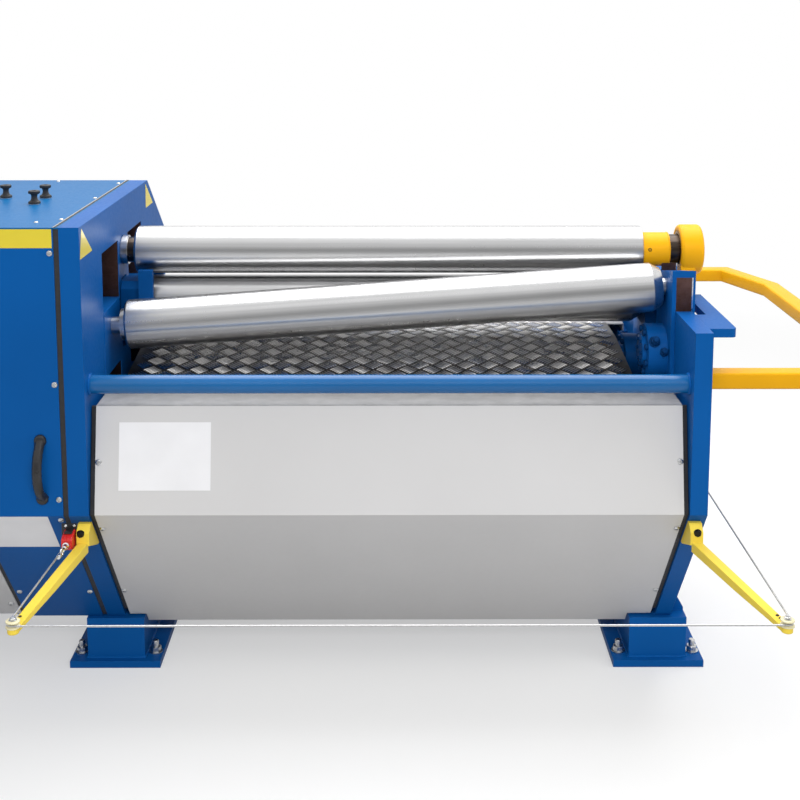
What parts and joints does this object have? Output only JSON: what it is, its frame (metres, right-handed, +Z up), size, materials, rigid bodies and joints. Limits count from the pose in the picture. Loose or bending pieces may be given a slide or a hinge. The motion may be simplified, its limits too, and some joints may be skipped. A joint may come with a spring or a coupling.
{
  "type": "plate rolling machine",
  "caption": "Floor-standing hydraulic plate roller: a top roll with a tilting drop end, a bottom roll, two side rolls on lifting carriages, drive cabinet, trip wire and side guard rail.",
  "frame": {"origin": "on the floor under the middle of the machine's outline", "axes": "+X along the rolls from the drive cabinet to the drop end, +Y from the front to the rear, +Z up"},
  "size_m": [2.626, 1.841, 1.223],
  "materials": {
    "blue_paint": "semi-gloss machine enamel",
    "yellow_paint": "semi-gloss enamel",
    "grey_paint": "fine satin powder coat",
    "roll_steel": "ground and polished",
    "chequer_steel": "rolled chequer plate",
    "black_rubber": "matt",
    "black_plastic": "satin",
    "red_plastic": "gloss",
    "wire_steel": "stranded",
    "zinc_steel": "bright",
    "bronze": "turned"
  },
  "bodies": {
    "machine": {"left_frame_plate": "blue_paint", "right_frame_plate": "blue_paint", "left_foot": "blue_paint", "right_foot": "blue_paint", "cabinet_foot": "blue_paint", "front_tie_tube": "blue_paint", "rear_tie_tube": "blue_paint", "base_beams": "blue_paint", "tread_plate": "chequer_steel", "front_cover": "grey_paint", "rear_cover": "grey_paint", "cabinet_end_plate": "blue_paint", "cabinet_frame": "blue_paint", "cabinet_front_cover": "blue_paint", "cabinet_panel": "grey_paint", "cabinet_top_cover": "blue_paint", "cabinet_rear_cover": "blue_paint", "cabinet_handle": "black_plastic", "top_buffers": "black_rubber", "limit_switch": "red_plastic", "wire_anchor": "zinc_steel", "front_left_trip_arm": "yellow_paint", "front_right_trip_arm": "yellow_paint", "rear_left_trip_arm": "yellow_paint", "rear_right_trip_arm": "yellow_paint", "trip_wire": "wire_steel", "guard_rail": "yellow_paint", "front_shelf": "blue_paint", "rear_shelf": "blue_paint", "drop_end_lugs": "blue_paint", "drop_end_pin": "zinc_steel"},
    "drop_end": {"drop_end_yoke": "yellow_paint", "yoke_bush": "bronze"},
    "top_roll": {"top_roll": "roll_steel", "top_roll_sleeve": "yellow_paint"},
    "bottom_lift": {"bottom_left_carriage": "blue_paint", "bottom_right_carriage": "blue_paint"},
    "bottom_roll": {"bottom_roll": "roll_steel"},
    "front_lift": {"front_left_carriage": "blue_paint", "front_right_carriage": "blue_paint"},
    "front_roll": {"front_roll": "roll_steel"},
    "rear_lift": {"rear_left_carriage": "blue_paint", "rear_right_carriage": "blue_paint"},
    "rear_roll": {"rear_roll": "roll_steel"}
  },
  "joints": [
    {"name": "top_roll_spin", "type": "hinge", "parent": "machine", "child": "top_roll", "pos_m": [0.1105, -0.066, 1.058], "axis": [1, 0, 0], "continuous": true},
    {"name": "drop_end_tilt", "type": "hinge", "parent": "machine", "child": "drop_end", "pos_m": [0.8685, -0.066, 0.72], "axis": [0, 1, 0], "range_deg": [0, 70]},
    {"name": "bottom_roll_lift", "type": "slide", "parent": "machine", "child": "bottom_lift", "axis": [0, 0, 1], "range_m": [-0.05, 0]},
    {"name": "bottom_roll_spin", "type": "hinge", "parent": "bottom_lift", "child": "bottom_roll", "pos_m": [0.1105, -0.066, 0.932], "axis": [1, 0, 0], "continuous": true},
    {"name": "front_roll_lift", "type": "slide", "parent": "machine", "child": "front_lift", "axis": [0, 0, 1], "range_m": [-0.05, 0.06]},
    {"name": "front_roll_spin", "type": "hinge", "parent": "front_lift", "child": "front_roll", "pos_m": [0.1105, -0.211, 0.946], "axis": [0.9974, 0, 0.0715], "continuous": true},
    {"name": "rear_roll_lift", "type": "slide", "parent": "machine", "child": "rear_lift", "axis": [0, 0, 1], "range_m": [0, 0.12]},
    {"name": "rear_roll_spin", "type": "hinge", "parent": "rear_lift", "child": "rear_roll", "pos_m": [0.1105, 0.079, 0.895], "axis": [1, 0, 0], "continuous": true}
  ]
}
